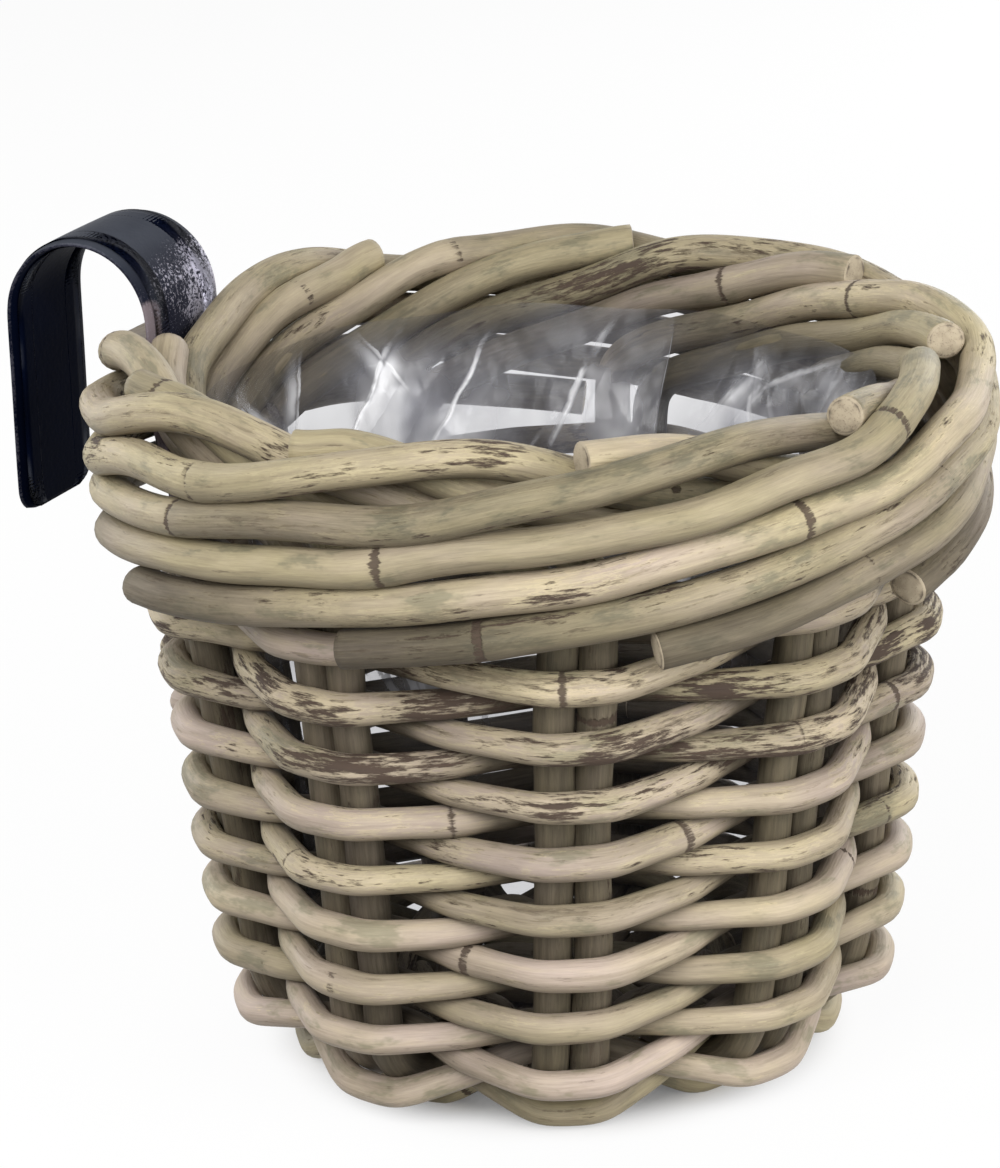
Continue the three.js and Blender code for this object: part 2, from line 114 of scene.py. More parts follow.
# The strap: on the stakes, up inside the rim's roll and over
STRAP_FACE = WALL_TOP_RADIUS + (STAKE / 2 + TOUCH) / math.sin(BEND_TURN)
STRAP_CORE = ROLL_RADIUS - STRAP_CORE_INSET
STRAP_FOOT, STRAP_CORE_FOOT = WALL_TOP - STRAP_TUCK, RIM_FOOT + STRAP_CORE_LIFT
STRAP_CREST = ROLL_HEIGHT + RIM_ROLL + STAKE / 2 + STRAP_HEADROOM
STRAP_TIP, STRAP_REACH = STRAP_CREST - HOOK_DROP, STRAP_CORE + HOOK_WIDTH
LINER_TOP = RIM_FOOT + LINER_TUCK

# The basket's own axis, from the strap's box in the frame
STRAP_LOW, STRAP_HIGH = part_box("hook_strap")
AXIS = np.array([(STRAP_LOW[0] + STRAP_HIGH[0]) / 2, STRAP_HIGH[1] - STRAP_REACH / 1000, 0.0])

# A rod's nodes: their least and greatest distance, and the widths of their ring and swelling
NODE_GAP, NODE_RING, NODE_SWELL = (110, 290), 1.3, 4.5
# The rings of a rod's domed end: their share of its radius and how far out they stand
END_RINGS, END_MIDDLE = ((0.86, 0.30), (0.4, 0.45)), 0.5
# How near its ends a rod keeps to its line
STEADY_END = 14
# How much fuller the dressed rods are than the solid ones, and how round the strap's edges are
STAKE_FULLNESS, WEAVER_FULLNESS, STRAP_EDGE = 1.05, 1.02, 0.55
# The second colour is the strap's upward faces: dusty grey, with a painted reflection of the sky
WHITE, DUST_AND_SHEEN = (1.0, 1.0, 1.0, 1.0), (0.056, 0.062, 0.078)
# Seeds of the random draws
STAKE_SEED, WEAVER_SEED, STICK_SEED, BASE_WEAVER_SEED = 11, 61, 101, 131
STRAP_SEED, FILM_SEED = 5, 404
# The film's radius and height for the width of its lines, and the points of its grid round and up
FILM_RADIUS, FILM_HEIGHT, FILM_COLUMNS, FILM_ROWS = 80, 155, 480, 170
# The photograph's camera: bearing round the basket, lens, turns in degrees and place in metres
BEARING, LENS, PITCH, ROLL, YAW = -154.7, 159.12, 18.275, 2.02, -0.536
CAMERA_PLACE, AIM_HEIGHT = (0, -1.3, 0.5556), 0.11
# Lamps: turn from the camera's bearing in degrees, height, distance and size in metres, and power
LAMPS = {"key": (-22, 0.80, 1.0, 0.8, 12.6), "fill": (48, 0.44, 1.2, 1.0, 14.5),
         "back": (148, 0.52, 1.3, 1.0, 9.0), "side": (-122, 0.52, 1.3, 1.0, 9.0),
         "top": (0, 1.7, 0.1, 0.8, 1.2)}
WORLD_LIGHT = 0.12


# ---- settings ----

def tint(name, description, default):
    """A colour that the user can change."""
    return FloatVectorProperty(name=name, description=description, subtype="COLOR",
                               default=default, min=0, max=1)


class BasketSettings(bpy.types.PropertyGroup):
    """Sizes and colours that a user would change."""
    rod_sides: IntProperty(name="Rod sides", description="Faces round a rod", default=20,
                           min=8, max=48)
    rod_step: FloatProperty(name="Rod step", description="Distance between a rod's rings",
                            default=0.0016, min=0.0008, max=0.01, unit="LENGTH")
    wobble: FloatProperty(name="Wobble", description="How far a rod strays from its even line",
                          default=0.0006, min=0, max=0.004, unit="LENGTH")
    swell: FloatProperty(name="Node swell", description="How much thicker a rod is at a node",
                         default=0.08, min=0, max=0.4, subtype="FACTOR")
    fullness: FloatProperty(name="Fullness", description="Thickness of a weaver in its passes",
                            default=1.09, min=0.8, max=1.2, subtype="FACTOR")
    crumple: FloatProperty(name="Crumple", description="Depth of the film's small creases",
                           default=0.0022, min=0, max=0.01, unit="LENGTH")
    lamp_power: FloatProperty(name="Lamp power", description="Strength of the studio lamps",
                              default=1.0, min=0, max=5)
    tan: tint("Tan rattan", "Colour of the warmer rods", (0.460, 0.392, 0.240))
    ash: tint("Ash rattan", "Colour of the greyer rods", (0.425, 0.343, 0.288))
    moss: tint("Mossy rattan", "Colour of the olive-grey blots", (0.250, 0.232, 0.150))
    # Darkened, this colour is also the painted shade under the rods and inside the weave
    shade: tint("Weathered rattan", "Colour of weathered streaks", (0.205, 0.165, 0.112))
    bark: tint("Bark", "Colour of the bark left on the rods", (0.043, 0.029, 0.021))
    pith: tint("Pith", "Colour of cut rod ends", (0.44, 0.37, 0.265))
    paint: tint("Strap paint", "Colour of the strap's lacquer", (0.0018, 0.0034, 0.0116))
    glint: tint("Strap glints", "Colour of the worn speckles on the strap", (0.40, 0.39, 0.47))
    film: tint("Film", "Tint of the liner film", (0.35, 0.35, 0.385))


# ---- shader maths ----

class Signal:
    """A shader output on which arithmetic adds Math nodes."""

    def __init__(self, finish, socket):
        self.finish, self.socket = finish, socket

    def maths(self, operation, *values, clamp=False):
        settings = {"operation": operation, "use_clamp": clamp}
        return self.finish.node("ShaderNodeMath", settings, dict(enumerate(values)))

    def __add__(self, other):
        return self.maths("ADD", self, other)

    __radd__ = __add__

    def __sub__(self, other):
        return self.maths("SUBTRACT", self, other)

    def __rsub__(self, other):
        return self.maths("SUBTRACT", other, self)

    def __mul__(self, other):
        return self.maths("MULTIPLY", self, other)

    __rmul__ = __mul__

    def most(self, other):
        return self.maths("MAXIMUM", self, other)

    def least(self, other):
        return self.maths("MINIMUM", self, other)

    def clamp(self):
        return self.maths("ADD", self, 0.0, clamp=True)

    def step(self, low, high, to_low=0.0, to_high=1.0):
        """Smooth step from low to high."""
        settings = {"interpolation_type": "SMOOTHSTEP"}
        ends = {"From Min": low, "From Max": high, "To Min": to_low, "To Max": to_high}
        return self.finish.node("ShaderNodeMapRange", settings, {"Value": self, **ends})


class Finish:
    """A material, or the world, and its nodes."""

    def __init__(self, owner, output="ShaderNodeOutputMaterial"):
        owner.use_nodes = True
        self.owner, self.tree = owner, owner.node_tree
        self.tree.nodes.clear()
        self.out = self.tree.nodes.new(output)

    def node(self, kind, settings=None, sockets=None, output=0):
        """Adds a node: its settings first, then its sockets by name or number."""
        made = self.tree.nodes.new(kind)
        for key, value in (settings or {}).items():
            setattr(made, key, value)
        for key, value in (sockets or {}).items():
            if isinstance(value, Signal):
                self.tree.links.new(value.socket, made.inputs[key])
            else:
                made.inputs[key].default_value = value
        return Signal(self, made.outputs[output])

    def attribute(self, name, output="Fac"):
        return self.node("ShaderNodeAttribute", {"attribute_name": name}, output=output)

    def place(self):
        return self.node("ShaderNodeTexCoord", output="Object")

    def split(self, vector):
        parted = self.node("ShaderNodeSeparateXYZ", None, {0: vector}).socket.node
        return [Signal(self, output) for output in parted.outputs]

    def facing(self):
        """How far the surface faces up, from -1 to 1."""
        return self.split(self.node("ShaderNodeNewGeometry", output="Normal"))[2]

    def seen(self):
        """1 for what is seen straight, mirrored or through glass, and 0 for other light."""
        rays = self.node("ShaderNodeLightPath").socket.node.outputs
        camera, glossy, through = (Signal(self, rays[kind]) for kind in (
            "Is Camera Ray", "Is Glossy Ray", "Is Transmission Ray"))
        return camera.most(glossy).most(through)

    def stretch(self, vector, scale):
        return self.node("ShaderNodeVectorMath", {"operation": "MULTIPLY"}, {0: vector, 1: scale})

    def noise(self, vector, scale, detail=3.0, roughness=0.55):
        ends = {"Vector": vector, "Scale": scale, "Detail": detail, "Roughness": roughness}
        return self.node("ShaderNodeTexNoise", None, ends)

    def fibres(self, grain, along, across, detail=3.0, roughness=0.6):
        """Noise drawn out along a rod, with its scale along the rod and across it."""
        return self.noise(self.stretch(grain, (along, across, across)), 1.0, detail, roughness)

    def mix(self, factor, a, b):
        """Colour b over colour a."""
        colours = [v if isinstance(v, Signal) else (*v, 1.0)[:4] for v in (a, b)]
        sockets = {0: factor, 6: colours[0], 7: colours[1]}
        return self.node("ShaderNodeMix", {"data_type": "RGBA"}, sockets, output=2)

    def layers(self, base, *coats):
        """Lays colours over a base colour, each with its own share."""
        for share, colour in coats:
            base = self.mix(share, base, colour)
        return base

    def bump(self, height, distance, strength):
        sockets = {"Height": height, "Distance": distance, "Strength": strength}
        return self.node("ShaderNodeBump", None, sockets)

    def principled(self, **sockets):
        named = {key.replace("_", " "): value for key, value in sockets.items()}
        return self.node("ShaderNodeBsdfPrincipled", None, named)

    def mix_shader(self, factor, a, b):
        return self.node("ShaderNodeMixShader", None, {0: factor, 1: a, 2: b})

    def surface(self, shader):
        self.tree.links.new(shader.socket, self.out.inputs["Surface"])
        return self.owner


def new_finish(name):
    return Finish(bpy.data.materials.new(name))


def times(colour, share):
    """A colour made lighter or darker, and never brighter than white."""
    return [min(1.0, c * share) for c in colour]


def rattan_finish(name, looks, fleck_low, fleck_high):
    """Weathered rattan: a blend of tan and ash from rod to rod, mossy and pale blots, each length
    between two nodes lighter or darker than the next, streaks and fibres along the rod, painted
    shade on undersides above the ground and inside the weave where rods pass behind others, bark
    left in ragged flakes where two noises meet, with pale chips round them, and a dark line at
    each node."""
    f = new_finish(name)
    grain = f.attribute("grain", "Vector")
    tone, ashen, barky = f.split(f.attribute("rod", "Vector"))
    # Painted shade inside the weave and where rods pass behind others, stored on each rod
    ring, painted_shade = f.attribute("ring"), f.attribute("painted_shade")
    broad = f.fibres(grain, 16, 40)
    blot = f.fibres(grain, 52, 130, 4.0, 0.66)
    band = f.fibres(grain, 12, 260)
    streak = f.fibres(grain, 42, 640, 4.0, 0.64)
    fine = f.fibres(grain, 150, 2600, 2.0)
    patch = f.fibres(grain, 30, 90)
    flake = f.fibres(grain, 120, 760, 4.0, 0.74)
    cover = patch * 0.50 + flake * 0.50 + barky * 0.16
    ashy = (ashen * 0.9 + (broad - 0.5) * 2.4).clamp()
    mossy = (0.46 - blot + (0.5 - broad) * 0.5).step(0.0, 0.12)
    worn = ((band - 0.48) * 2.6 + (streak - 0.5) * 1.8).clamp()
    rubbed = ((0.47 - band) * 2.4 + (0.5 - streak) * 1.4 + (blot - 0.5) * 1.2).clamp()
    chips = cover.step(fleck_low - 0.050, fleck_low - 0.035)
    height = f.split(f.place())[2]
    # Painted shade on the rods' undersides, above the ground
    under = (f.facing() * -1).step(-0.10, 0.88) * height.step(0.006, 0.050)
    # The last two coats are painted shade: on undersides, and inside the weave
    base = f.layers(looks.tan, (ashy, looks.ash), (mossy * 0.70, looks.moss),
                    (worn * 0.75, looks.shade), (rubbed * 0.52, times(looks.tan, 1.18)),
                    (chips * 0.34, times(looks.tan, 1.18 * 1.12)),
                    ((under * (0.42 + blot * 0.6)).clamp(), times(looks.shade, 0.8)),
                    (painted_shade * (0.64 + streak * 0.5).clamp(), times(looks.shade, 0.36)))
    gain = 0.56 + tone * 0.54 + (fine - 0.5) * 0.36 + (broad - 0.5) * 0.46 + (blot - 0.5) * 0.36
    grey = f.node("ShaderNodeCombineXYZ", None, {0: gain, 1: gain, 2: gain})
    base = f.stretch(base, grey)
    flecks = cover.step(fleck_low, fleck_high)
    scuff = (band * 0.35 + flake * 0.65 + barky * 0.08).step(0.590, 0.665) * 0.48
    line = (ring + (flake - 0.5) * 1.3 + (blot - 0.5) * 0.6).step(0.58, 0.80) * 0.9
    dark = flecks.most(scuff).most(line).clamp()
    rind = f.mix((streak * 0.9).clamp(), looks.bark, times(looks.bark, 2.2))
    colour = f.mix(dark, base, rind)
    rough = 0.54 + (streak - 0.5) * 0.30 + dark * 0.2 + painted_shade * 0.15
    relief = streak * 0.55 + fine * 0.28 + blot * 0.35 + flecks * 0.6 - line * 0.8
    return f.surface(f.principled(Base_Color=colour, Roughness=rough, Specular_IOR_Level=0.28,
                                  Normal=f.bump(relief, 0.0006, 0.75)))


def pith_finish(looks):
    """A cut rod end: pale wood with fine dark pores, darker towards the rind."""
    f = new_finish("cut_rattan")
    grain = f.attribute("grain", "Vector")
    edge = f.attribute("ring")
    pores = {"Vector": f.stretch(grain, (300, 1900, 1900)), "Scale": 1.0}
    hole = 1 - f.node("ShaderNodeTexVoronoi", None, pores).step(0.10, 0.32)
    blot = f.fibres(grain, 60, 260, 3.0, 0.55)
    dull = (hole * 0.55 + (blot - 0.42) * 2.2).clamp()
    rind = (edge + (blot - 0.5) * 0.7).step(0.72, 0.98)
    colour = f.layers(looks.pith, (dull, looks.shade), (rind * 0.8, looks.bark))
    return f.surface(f.principled(Base_Color=colour, Roughness=0.8,
                                  Normal=f.bump(1 - hole, 0.0003, 0.6)))


def strap_finish(looks):
    """Dark lacquer on steel: fine orange peel, dull and bright areas, dusty tops with a painted
    sky reflection, glinting worn speckles where the strap goes down into the rim, and a rubbed
    patch at its near edge there."""
    f = new_finish("strap_lacquer")
    place = f.place()
    x, y, z = f.split(place)
    peel = f.noise(place, 700.0, 2.0, 0.5)
    cloud = f.noise(place, 60.0, 3.0, 0.6)
    grit = f.noise(place, 1150.0, 4.0, 0.78)
    near = 1 - y.step(AXIS[1] + 0.110, AXIS[1] + 0.126)
    low = z.step(0.158, 0.182) * (1 - z.step(0.201, 0.2135))
    side = x.step(AXIS[0] - 0.020, AXIS[0] + 0.012)
    worn = near * low * (0.30 + side * 0.70)
    speck = (grit * 0.70 + cloud * 0.30 + worn * 0.12).step(0.59, 0.66) * worn.step(0.10, 0.60)
    edge = near * (1 - z.step(0.196, 0.205)) * (1 - x.step(AXIS[0] - 0.018, AXIS[0] - 0.004))
    scrape = (edge * 0.5 + cloud * 0.4 + grit * 0.25).step(0.66, 0.78)
    rub = (f.attribute("rim") * 0.42 + grit * 0.3 + cloud * 0.25).step(0.66, 0.74)
    # Paler upward faces: dusty grey, and a painted reflection of the bright sky on the crest
    dust_and_sheen = f.facing().step(0.15, 0.95) * (0.45 + cloud * 0.8) * (1 - worn)
    rust = [c * share for c, share in zip(looks.glint, (0.62, 0.52, 0.46))]
    colour = f.layers(looks.paint, ((cloud - 0.4).clamp(), times(looks.paint, 1.7)),
                      (dust_and_sheen.clamp(), DUST_AND_SHEEN), (worn * 0.25, times(looks.glint, 0.25)),
                      (scrape * 0.75, rust), (speck.most(rub * 0.12), looks.glint))
    rough = 0.36 + (cloud - 0.5) * 0.3 - speck * 0.14 + scrape * 0.3
    normal = f.bump(peel * 0.4 + grit * worn * 1.4 + speck, 0.00035, 0.6)
    return f.surface(f.principled(Base_Color=colour, Roughness=rough, Metallic=speck * 0.4,
                                  Specular_IOR_Level=0.006, Normal=normal))


def film_finish(looks):
    """Clear film: mostly see-through, with a painted highlight along each fold and crease, a pale
    band of painted highlight beside it, milky clouds where the veil says, with patches of painted
    highlight among them, and gloss where it stands edge on."""
    f = new_finish("clear_film")
    place = f.place()
    veil = f.attribute("veil")
    cloud = f.noise(place, 26.0, 3.0, 0.6)
    smear = f.noise(place, 90.0, 3.0, 0.6)
    ripple = f.noise(f.stretch(place, (40, 40, 18)), 1.0)
    # Painted highlights: a line along each fold and crease, and a pale band beside it
    line, facet_highlight, relief = veil * 0, veil * 0, ripple
    for lay, fine in (("folds", 1.0), ("creases", 0.6)):
        apart = f.split(f.attribute(lay, "Vector"))
        marks = f.split(f.attribute(lay + "_seen", "Vector"))
        for away, mark in zip(apart, marks):
            away = away + (cloud - 0.5) * 7.0 + (smear - 0.5) * 1.6
            near = away.most(away * -1)
            highlight_stroke = (1 - near.step(0.15, 1.5 * fine)) * smear.step(0.30, 0.62) * (0.4 + cloud)
            line = line.most(highlight_stroke * mark)
            plane = away.step(0.0, 1.6) * (1 - away.step(2.0, 10.0 * fine))
            facet_highlight = facet_highlight.most(plane * mark * cloud.step(0.40, 0.62))
            relief = relief + near.least(6.0) * mark * 0.05
    normal = f.bump(relief, 0.008, 0.7)
    gloss = f.node("ShaderNodeFresnel", None, {"IOR": 1.38, "Normal": normal})
    milk = 0.42 + cloud.step(0.34, 0.66) * 0.38 + ripple.step(0.42, 0.66) * 0.20
    cover = 0.01 + gloss * (0.12 + veil * 0.9) + line * 0.66 + facet_highlight * 0.56 + veil * milk
    # Patches of painted highlight where the veil is thick
    painted_sheen = veil.step(0.38, 0.88) * cloud.step(0.40, 0.60) * 0.80
    # The sheet, lightened by its painted highlights
    pale = f.mix((line + facet_highlight * 0.75 + painted_sheen).clamp(), looks.film, (0.86, 0.86, 0.88))
    sheet = f.principled(Base_Color=pale, Roughness=0.2, Normal=normal)
    clear = f.node("ShaderNodeBsdfTransparent", None, {"Color": (0.82, 0.82, 0.83, 1.0)})
    return f.surface(f.mix_shader(cover.clamp(), clear, sheet))


def floor_finish():
    """Pale floor that reads as white, keeps the object's shadow and is dark under it."""
    f = new_finish("studio_floor")
    seen = f.seen()
    cloth = f.node("ShaderNodeBsdfDiffuse", None, {"Color": f.mix(seen, [0.42] * 3, [0.95] * 3)})
    light = f.node("ShaderNodeEmission", None, {"Color": WHITE, "Strength": 1.0})
    away = f.node("ShaderNodeVectorMath", {"operation": "DISTANCE"},
                  {0: f.place(), 1: tuple(AXIS)}, output="Value")
    return f.surface(f.mix_shader(seen * away.step(0.056, 0.082, 0.1, 0.93), cloth, light))


# ---- lines that the rods follow ----

def smooth_step(x, low, high):
    """0 below low and 1 above high, with an even S-shaped rise between them."""
    t = np.clip((np.asarray(x, float) - low) / (high - low), 0, 1)
    return t * t * (3 - 2 * t)


def place(radius, angle, height, sideways=0.0):
    """Point at a radius, an angle in degrees and a height, moved sideways round the basket."""
    a = np.radians(angle)
    x = radius * np.cos(a) - sideways * np.sin(a)
    y = radius * np.sin(a) + sideways * np.cos(a)
    return np.stack(np.broadcast_arrays(x, y, height), -1)


def wall_line(along):
    """Radius, height and outward direction of the stakes' line: flat, round the bend, up."""
    along = np.asarray(along, float)
    turn = np.clip((along - BOTTOM_FLAT) / BOTTOM_BEND, 0, BEND_TURN)
    flat = np.minimum(along, BOTTOM_FLAT) - BOTTOM_FLAT
    up = np.maximum(along - BOTTOM_FLAT - BEND_LENGTH, 0)
    radius = BEND_FOOT_RADIUS + flat + BOTTOM_BEND * np.sin(turn) + up * np.cos(turn)
    height = BASE_HEIGHT + BOTTOM_BEND * (1 - np.cos(turn)) + up * np.sin(turn)
    return radius, height, np.sin(turn), -np.cos(turn)


def pair_angle(pair, height):
    """Angle of a pair of stakes at a height, with the wall's lean round the basket."""
    return HOOK + STEP * pair + TWIST * (np.minimum(np.asarray(height, float) / WALL_TOP, 1) - 1)


def row_pitch(turn):
    """Distance from row to row, which grows evenly from the foot to the top."""
    return FOOT_PITCH + (TOP_PITCH - FOOT_PITCH) * turn / (WAVES / PAIRS)


def row_at(turn):
    """How far along the stakes' line the spiral has come: the turns times their mean pitch."""
    return FIRST_ROW + turn * (FOOT_PITCH + row_pitch(turn)) / 2


def rod_diameter(wave):
    """A weaver's thickness: the pitch of its row less the gap between rows."""
    return row_pitch((wave + 1) / PAIRS) - TOUCH - ROW_SLACK


def weave_point(wave, outward, sideways=0.0):
    """Point on the spiral at a pair of stakes, moved out from the stakes' line and sideways."""
    radius, height, out_r, out_z = wall_line(row_at((wave + 1) / PAIRS))
    angle = pair_angle(wave, height) + np.degrees(sideways / radius)
    return place(radius + out_r * outward, angle, height + out_z * outward)


def wall_pass(wave, diameter):
    """Half the length of a pass over a pair, and how far out it stands at its ends."""
    outside = wave % 2 == 0
    radius, height, _, _ = wall_line(row_at((wave + 1) / PAIRS))
    out = STAKE / 2 + TOUCH + diameter / 2
    if not (outside and wave % PAIRS == 0 and height > STRAP_FOOT - diameter):
        return PASS_WIDTH / 2, (out if outside else -out)
    half = STRAP_WIDTH / 2 + 2
    flat = radius + out + (STRAP + TOUCH) / math.sin(BEND_TURN)
    return half, flat / math.cos(half / radius) - radius


def weaver_line(first, last, diameter):
    """A weaver's line: a pass in front of one pair, a crossing, a pass behind the next."""
    points = []
    for wave in range(first, last + 1):
        half, out = wall_pass(wave, diameter)
        points.append(weave_point(wave, out, BUTT_GAP / 2 if wave == first else -half))
        if wave == last:
            points.append(weave_point(wave, out, -BUTT_GAP / 2))
        else:
            points += [weave_point(wave, out, half), weave_point(wave + 0.5, 0)]
    return np.array(points)


def rim_section(q):
    """Radius and height on the rim's section: up the inner slope, over the roll, down outside."""
    q = np.asarray(q, float)
    at = math.pi - INNER_LEAN - np.clip((q - RIM_RISE) / RIM_ROLL, 0, ROLL_TURN)
    inside, outside = np.minimum(q - RIM_RISE, 0), np.minimum(ROLL_END - q, 0)
    radius = (ROLL_RADIUS + RIM_ROLL * np.cos(at) + inside * math.sin(INNER_LEAN)
              + outside * math.sin(OUTER_LEAN))
    height = (ROLL_HEIGHT + RIM_ROLL * np.sin(at) + inside * math.cos(INNER_LEAN)
              + outside * math.cos(OUTER_LEAN))
    return radius, height


def rim_lane(pair, side, travelled):
    """Distance that a stake has come along the rim's section, at an angle past its own place."""
    to_hook = STEP * pair + PAIR_ANGLE / 2 * side
    start = STAKE_LEAD * side
    before = to_hook - np.asarray(travelled, float)
    room = 1 - smooth_step(np.abs(before), SLOT_HALF, SLOT_HALF + SLOT_RAMP)
    over = start + LANE_RATE * to_hook > (SHORT_END + LANE_MERGE) / 2
    lane = start + LANE_RATE * np.asarray(travelled, float) + (SLOT_ADVANCE * room if over else 0)
    return np.where(lane < LANE_MERGE, lane, (lane + LANE_MERGE) / 2)


def rim_cut(pair, side):
    """The angle past its own place at which a stake is cut off."""
    travelled = np.arange(BEND_ANGLE + 0.5, 400, 0.5)
    lane = rim_lane(pair, side, travelled)
    done = lane >= (SHORT_END if side < 0 else RIM_END)
    if side < 0:
        to_hook = STEP * pair + PAIR_ANGLE / 2 * side
        done |= (np.abs(to_hook - travelled) < SLOT_HALF) & (lane > RIM_RISE)
    return travelled[np.argmax(done)]


def stake_line(pair, side):
    """A stake's line: out of the base, up the wall, into the rim and round it to its cut end."""
    along = [0, *(BOTTOM_FLAT + BEND_LENGTH * np.linspace(0, 1, 7))]
    start = float(rim_section(rim_lane(pair, side, 0))[1])
    upright = (start - STAKE_BEND - BEND_TOP) / math.sin(BEND_TURN)
    along += [BOTTOM_FLAT + BEND_LENGTH + upright * share for share in (0.25, 0.5, 0.75, 1)]
    radius, height, _, _ = wall_line(along)
    foot = place(radius, pair_angle(pair, height), height, side * STAKE_SPACING / 2)
    angle = pair_angle(pair, WALL_TOP) + PAIR_ANGLE / 2 * side
    lean = lambda share: WALL_TOP_RADIUS + (RIM_RADIUS - WALL_TOP_RADIUS) * share
    bend = [place(lean(0.3), angle - 1.2, start - STAKE_BEND * 0.4),
            place(lean(0.7), angle - 4, start + 1.2)]
    travelled = np.linspace(BEND_ANGLE, rim_cut(pair, side), 60)
    radius, height = rim_section(rim_lane(pair, side, travelled))
    return np.vstack([foot, bend, place(radius, angle - travelled, height)])


def spoke_point(slot, radius, lift=0.0):
    """Point on one of the base's spokes, which stand in pairs at the stakes' angles."""
    sideways = (-1 if slot % 2 == 0 else 1) * (STICK + TOUCH) / 2
    return place(radius, pair_angle(slot // 2, 0), BASE_HEIGHT + lift, sideways)


def stick_line(offset, layer, direction, start_slot, end_slot):
    """A base stick's line: straight through the cross, its ends opened out like spokes."""
    lift = layer * STICK_SPACING / 2
    along = pair_angle(0, 0) + BASE_TURN + direction
    ring, opened = STAKE_START - TOUCH, CROSS_EDGE * 1.6
    middle = opened + (ring - opened) * 0.4

    def arm(slot):
        return [spoke_point(slot, ring), spoke_point(slot, middle),
                spoke_point(slot, opened, lift * 0.1)]

    cross = [place(sign * CROSS_EDGE, along, BASE_HEIGHT + lift, offset) for sign in (-1, 1)]
    return np.vstack([*arm(end_slot), *cross, *arm(start_slot)[::-1]])


def base_weaver_line():
    """The base weaver's line: a flat spiral over one pair of spokes and under the next."""
    out = (STICK + BASE_WEAVER) / 2 + TOUCH
    outer = STAKE_START - TOUCH - BASE_WEAVER * 0.6
    waves = math.floor((outer - CROSS_EDGE * 1.6 - BASE_HEART) / BASE_PITCH * PAIRS)

    def at(wave, lift, sideways=0.0):
        radius = outer - BASE_PITCH * (waves - wave) / PAIRS
        angle = pair_angle(wave, 0) + math.degrees(sideways / radius)
        return place(radius, angle, BASE_HEIGHT + lift)

    points = []
    for wave in range(waves + 1):
        lift = out if wave % 2 == 0 else -out
        if wave > 0:
            points.append(at(wave, lift, -BASE_PASS / 2))
        if wave < waves:
            points += [at(wave, lift, BASE_PASS / 2), at(wave + 0.5, 0)]
    return np.array(points)


# ---- rods ----

def even_line(points, step, soften):
    """The polyline cut into even steps and softened by a Gaussian of a width along its length,
    with each end kept where it is by turning the line about its end."""
    length = np.r_[0, np.cumsum(np.linalg.norm(np.diff(points, axis=0), axis=1))]
    count = max(int(length[-1] / step), 8)
    at = np.linspace(0, length[-1], count + 1)
    line = np.stack([np.interp(at, length, points[:, k]) for k in range(3)], -1)
    reach = int(3 * soften / step)
    if reach < 1:
        return line, at
    weight = np.exp(-0.5 * (np.arange(-reach, reach + 1) * (at[1] - at[0]) / soften) ** 2)
    weight /= weight.sum()
    before = 2 * line[0] - line[reach:0:-1]
    after = 2 * line[-1] - line[-2:-reach - 2:-1]
    padded = np.vstack([before, line, after])
    smooth = np.stack([np.convolve(padded[:, k], weight, "valid") for k in range(3)], -1)
    return smooth, at


def tangents(line):
    """Directions along a line."""
    ahead = np.gradient(line, axis=0)
    return ahead / np.linalg.norm(ahead, axis=1, keepdims=True)


def carried_frames(line):
    """Tangents of a line, with side and up directions carried along it without twist, by turning
    each side to the next tangent."""
    tangent = tangents(line)
    side = np.cross(tangent[0], [0, 0, 1] if abs(tangent[0][2]) < 0.8 else [1, 0, 0])
    sides = np.empty_like(line)
    for i, ahead in enumerate(tangent):
        side = side - ahead * side.dot(ahead)
        side /= np.linalg.norm(side)
        sides[i] = side
    return tangent, sides, np.cross(tangent, sides)


def slow_noise(rng, at, wavelength, parts=4):
    """A smooth random wave from about -1 to 1: a sum of sines of random phase, each shorter than
    the last."""
    wave = np.zeros_like(at)
    for k in range(parts):
        reach = wavelength * (1.5 - 0.25 * k) * (0.8 + 0.4 * rng.random())
        wave += np.sin(2 * np.pi * (at / reach + rng.random())) / (1 + 0.3 * k)
    return wave / 2.4


def add_object(name, data):
    made = bpy.data.objects.new(name, data)
    bpy.context.scene.collection.objects.link(made)
    return made


def new_mesh(name, points, faces, materials, smooth=True):
    mesh = bpy.data.meshes.new(name)
    mesh.from_pydata(points.tolist(), [], faces)
    mesh.polygons.foreach_set("use_smooth", np.full(len(mesh.polygons), smooth))
    for material in materials:
        mesh.materials.append(material)
    mesh.update()
    return add_object(name, mesh)


def store(mesh, name, values):
    """Keeps a value, or a vector, for each point of a mesh."""
    kind, field = ("FLOAT_VECTOR", "vector") if values.ndim == 2 else ("FLOAT", "value")
    layer = mesh.attributes.new(name, kind, "POINT")
    layer.data.foreach_set(field, values.astype(np.float32).ravel())


def tube_faces(rows, sides, turned=False):
    """Quads between each ring of points and the next, turned where the rings run the other way."""
    near = (np.arange(rows - 1) * sides)[:, None] + np.arange(sides)
    beside = np.roll(near, -1, axis=1)
    corners = [near, near + sides, beside + sides, beside]
    if turned:
        corners = [near, beside, beside + sides, near + sides]
    return np.stack(corners, -1).reshape(-1, 4).tolist()


def fan_faces(ring, tip):
    """Triangles from a ring of points to one point."""
    return np.stack([ring, np.roll(ring, -1), np.full(len(ring), tip)], -1).tolist()


